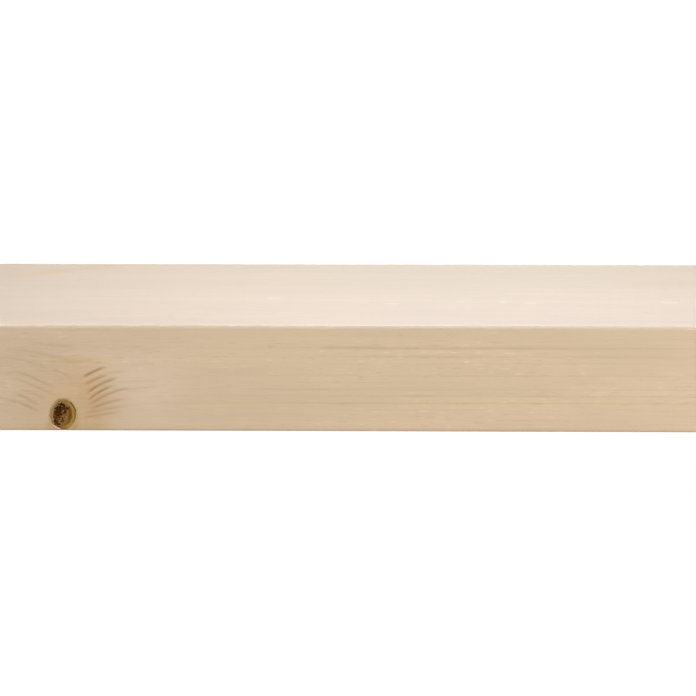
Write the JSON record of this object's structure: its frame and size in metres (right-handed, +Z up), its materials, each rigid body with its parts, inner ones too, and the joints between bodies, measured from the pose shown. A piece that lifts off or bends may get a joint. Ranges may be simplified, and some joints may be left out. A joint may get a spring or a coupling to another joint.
{
  "type": "planed softwood plank",
  "caption": "Straight planed softwood plank of rectangular section with lightly eased long arrises, square-sawn ends and a dark arris knot, for framing, battens and joinery.",
  "frame": {"origin": "centre of the bottom face, on the surface that the plank lies on", "axes": "+X along the grain, +Y across the wide face towards the back edge, +Z up through the thickness"},
  "size_m": [1.8, 0.069, 0.044],
  "materials": {
    "planed_softwood": "planed, bare, satin with fine straight grain"
  },
  "bodies": {
    "root": {"plank": "planed_softwood"}
  },
  "joints": []
}
